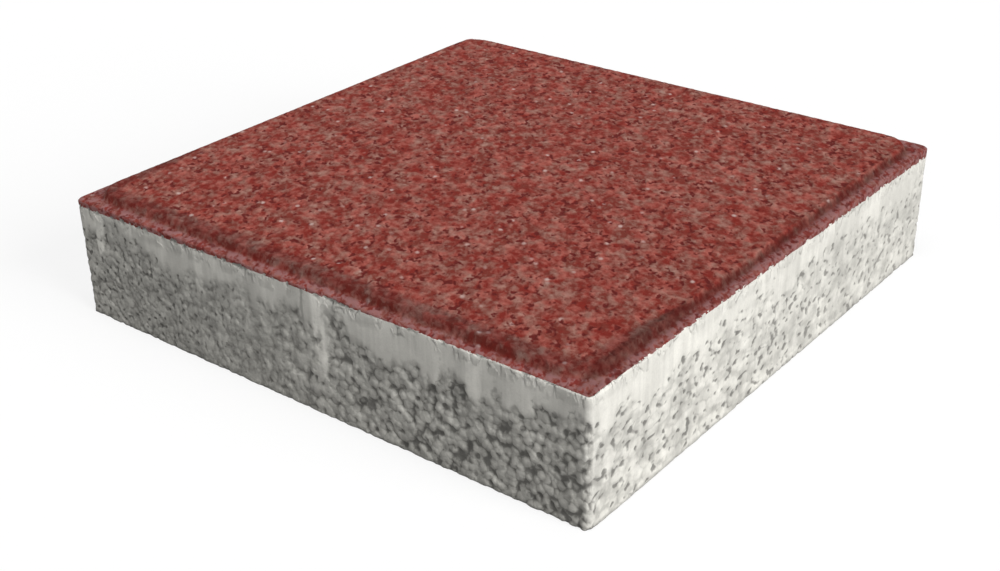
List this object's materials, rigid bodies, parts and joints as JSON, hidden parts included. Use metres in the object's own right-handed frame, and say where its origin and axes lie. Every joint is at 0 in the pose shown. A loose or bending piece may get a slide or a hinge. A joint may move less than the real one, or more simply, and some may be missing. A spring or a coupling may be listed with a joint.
{
  "type": "concrete paving stone",
  "caption": "Square pressed concrete paving stone with a grey body and a red-brown bevelled face, laid flat side by side to pave paths and yards.",
  "frame": {"origin": "middle of the underside", "axes": "+Z from the underside up through the bevelled face; +X and +Y square to the upright sides"},
  "size_m": [0.3, 0.3, 0.065],
  "materials": {
    "concrete": "pressed concrete, rough: red-brown fine-grained face on a light grey coarse-grained body"
  },
  "bodies": {
    "root": {"paving_stone": "concrete"}
  },
  "joints": []
}
